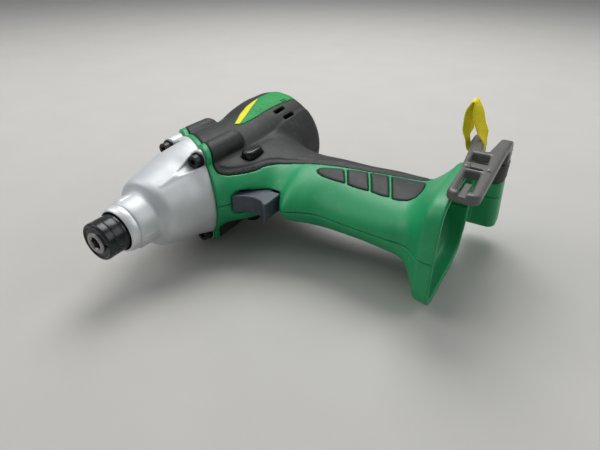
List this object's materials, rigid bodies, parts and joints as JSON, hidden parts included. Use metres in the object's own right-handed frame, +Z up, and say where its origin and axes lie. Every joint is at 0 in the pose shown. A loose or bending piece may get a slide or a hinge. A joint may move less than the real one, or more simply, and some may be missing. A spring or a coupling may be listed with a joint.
{
  "type": "cordless impact driver",
  "caption": "Cordless impact driver with a hexagonal bit chuck, planetary hammer mechanism, trigger, reversing button, open battery foot and swinging belt hook, lying on its side.",
  "frame": {"origin": "middle of the outline, on the surface that the tool lies on", "axes": "+X runs down the handle towards the battery foot, +Y runs back along the drive axis from the bit sleeve to the motor's tail, +Z points up out of the tool's left side"},
  "size_m": [0.2014, 0.175, 0.0916],
  "materials": {
    "housing_green": "moulded green nylon, fine satin",
    "soft_grey": "dark grey soft elastomer, matt",
    "label": "printed label film with a plain yellow sweep, no lettering",
    "case_alloy": "silver paint over die-cast alloy, satin",
    "nose_steel": "satin plated steel",
    "sleeve_black": "black, glossy",
    "spring_steel": "oiled spring wire",
    "blackened_steel": "black oxide",
    "polished_steel": "ground and polished",
    "tool_steel": "hardened tool steel, ground",
    "bush_bronze": "sintered bronze",
    "nylon": "natural nylon",
    "black_plastic": "black glass-filled plastic",
    "gloss_black": "black, glossy",
    "laminations": "laminated steel with lacquered winding",
    "copper": "copper",
    "plated_steel": "zinc plated",
    "ferrite": "ferrite and carbon",
    "trigger_grey": "blue-grey plastic, satin",
    "hook_grey": "grey glass-filled plastic, matt",
    "yellow_webbing": "yellow woven nylon webbing"
  },
  "bodies": {
    "body": {"housing_left": "housing_green", "housing_right": "housing_green", "overmould_left": "soft_grey", "overmould_right": "soft_grey", "grip_pads_left": "soft_grey", "grip_pads_right": "soft_grey", "label_plate": "label", "hammer_case": "case_alloy", "nose_ring": "nose_steel", "anvil_bush": "bush_bronze", "thrust_washer": "nylon", "ring_gear": "tool_steel", "gear_cover": "black_plastic", "spindle_bearing": "polished_steel", "front_bearing": "polished_steel", "motor_can": "plated_steel", "motor_magnets": "ferrite", "brush_plate": "black_plastic", "brushes": "ferrite", "rear_bearing": "polished_steel", "trigger_spring": "spring_steel", "switch_body": "black_plastic", "battery_terminals": "black_plastic", "case_bolts": "blackened_steel", "bolt_washers": "blackened_steel", "housing_screws": "blackened_steel", "hook_screw": "plated_steel"},
    "spindle": {"spindle": "tool_steel", "cam_balls": "polished_steel", "planet_pins": "polished_steel", "hammer_spring": "spring_steel"},
    "hammer": {"hammer": "tool_steel"},
    "anvil": {"anvil": "tool_steel", "detent_balls": "polished_steel", "sleeve_retainer": "blackened_steel", "sleeve_spring": "spring_steel"},
    "bit_sleeve": {"bit_sleeve": "sleeve_black"},
    "planet_a": {"planet_gear_a": "tool_steel"},
    "planet_b": {"planet_gear_b": "tool_steel"},
    "planet_c": {"planet_gear_c": "tool_steel"},
    "rotor": {"motor_shaft": "polished_steel", "armature": "laminations", "commutator": "copper", "cooling_fan": "black_plastic"},
    "trigger": {"trigger": "trigger_grey"},
    "reversing_button": {"reversing_button": "gloss_black"},
    "hook": {"hook_arm": "hook_grey", "hook_hub": "soft_grey", "strap_loop": "yellow_webbing"}
  },
  "joints": [
    {"name": "spindle_spin", "type": "hinge", "parent": "body", "child": "spindle", "pos_m": [-0.06575, -0.0865, 0.035], "axis": [0, 1, 0], "continuous": true},
    {"name": "rotor_spin", "type": "hinge", "parent": "body", "child": "rotor", "pos_m": [-0.06575, -0.0865, 0.035], "axis": [0, 1, 0], "continuous": true},
    {"name": "anvil_spin", "type": "hinge", "parent": "body", "child": "anvil", "pos_m": [-0.06575, -0.0865, 0.035], "axis": [0, 1, 0], "continuous": true},
    {"name": "planet_a_spin", "type": "hinge", "parent": "spindle", "child": "planet_a", "pos_m": [-0.05615, -0.0865, 0.035], "axis": [0, 1, 0], "continuous": true},
    {"name": "planet_b_spin", "type": "hinge", "parent": "spindle", "child": "planet_b", "pos_m": [-0.07055, -0.0865, 0.02669], "axis": [0, 1, 0], "continuous": true},
    {"name": "planet_c_spin", "type": "hinge", "parent": "spindle", "child": "planet_c", "pos_m": [-0.07055, -0.0865, 0.04331], "axis": [0, 1, 0], "continuous": true},
    {"name": "hammer_retract", "type": "slide", "parent": "spindle", "child": "hammer", "axis": [0, 1, 0], "range_m": [0, 0.006], "stiffness_N_per_m": 8000, "springref_m": -0.008, "deforming": ["hammer_spring"]},
    {"name": "sleeve_pull", "type": "slide", "parent": "anvil", "child": "bit_sleeve", "axis": [0, -1, 0], "range_m": [0, 0.0035], "stiffness_N_per_m": 1500, "springref_m": -0.003, "deforming": ["sleeve_spring"]},
    {"name": "trigger_pull", "type": "slide", "parent": "body", "child": "trigger", "axis": [0, 1, 0], "range_m": [0, 0.007], "stiffness_N_per_m": 1200, "springref_m": -0.004, "deforming": ["trigger_spring"]},
    {"name": "reversing_slide", "type": "slide", "parent": "body", "child": "reversing_button", "axis": [0, 0, 1], "range_m": [-0.0022, 0.0022]},
    {"name": "hook_swing", "type": "hinge", "parent": "body", "child": "hook", "pos_m": [0.08925, 0.075, 0.055], "axis": [0, 0, 1], "range_deg": [0, 80]}
  ],
  "couplings": [
    {"joint": "rotor_spin", "follows": "spindle_spin", "ratio": 6},
    {"joint": "anvil_spin", "follows": "spindle_spin", "ratio": 1},
    {"joint": "planet_a_spin", "follows": "spindle_spin", "ratio": -2.5},
    {"joint": "planet_b_spin", "follows": "spindle_spin", "ratio": -2.5},
    {"joint": "planet_c_spin", "follows": "spindle_spin", "ratio": -2.5}
  ]
}
